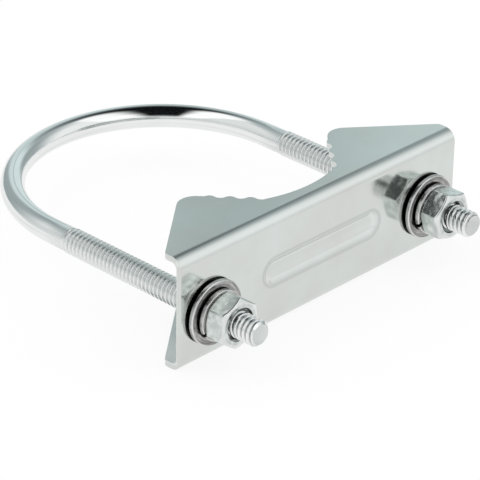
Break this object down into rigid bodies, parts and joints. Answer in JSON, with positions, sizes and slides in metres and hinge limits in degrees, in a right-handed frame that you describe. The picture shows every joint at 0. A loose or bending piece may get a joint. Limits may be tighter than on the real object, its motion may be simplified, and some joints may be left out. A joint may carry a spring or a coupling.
{
  "type": "pole clamp",
  "caption": "U-bolt pole clamp with a pressed channel saddle that grips the pole in toothed jaws and is drawn up along the threaded legs by washers and hex nuts.",
  "frame": {"origin": "on the pole axis, at the centre of the U-bolt's bend, in the plane of the rod", "axes": "+Z along the pole, +Y from the nuts towards the bend, X from leg to leg"},
  "size_m": [0.0922, 0.1068, 0.0286],
  "materials": {
    "plated_rod": "drawn steel rod, bright zinc plate",
    "plated_sheet": "pressed steel sheet, bright zinc plate",
    "plated_washer": "punched steel, zinc plate",
    "plated_spring": "spring steel, zinc plate",
    "plated_nut": "cold-formed steel, zinc plate"
  },
  "bodies": {
    "u_bolt": {"u_bolt": "plated_rod"},
    "saddle": {"saddle": "plated_sheet", "flat_washer_left": "plated_washer", "flat_washer_right": "plated_washer", "spring_washer_left": "plated_spring", "spring_washer_right": "plated_spring"},
    "nut_left": {"hex_nut_left": "plated_nut"},
    "nut_right": {"hex_nut_right": "plated_nut"}
  },
  "joints": [
    {"name": "saddle_slide", "type": "slide", "parent": "u_bolt", "child": "saddle", "axis": [0, 1, 0], "range_m": [-0.006, 0.045]},
    {"name": "nut_left_turn", "type": "hinge", "parent": "saddle", "child": "nut_left", "pos_m": [-0.0363, -0.0586, 0], "axis": [0, 1, 0], "range_deg": [-1702, 12757]},
    {"name": "nut_right_turn", "type": "hinge", "parent": "saddle", "child": "nut_right", "pos_m": [0.0363, -0.0586, 0], "axis": [0, 1, 0], "range_deg": [-1702, 12757]}
  ],
  "couplings": [
    {"joint": "nut_left_turn", "follows": "saddle_slide", "rad_per_m": 4947.4},
    {"joint": "nut_right_turn", "follows": "saddle_slide", "rad_per_m": 4947.4}
  ]
}
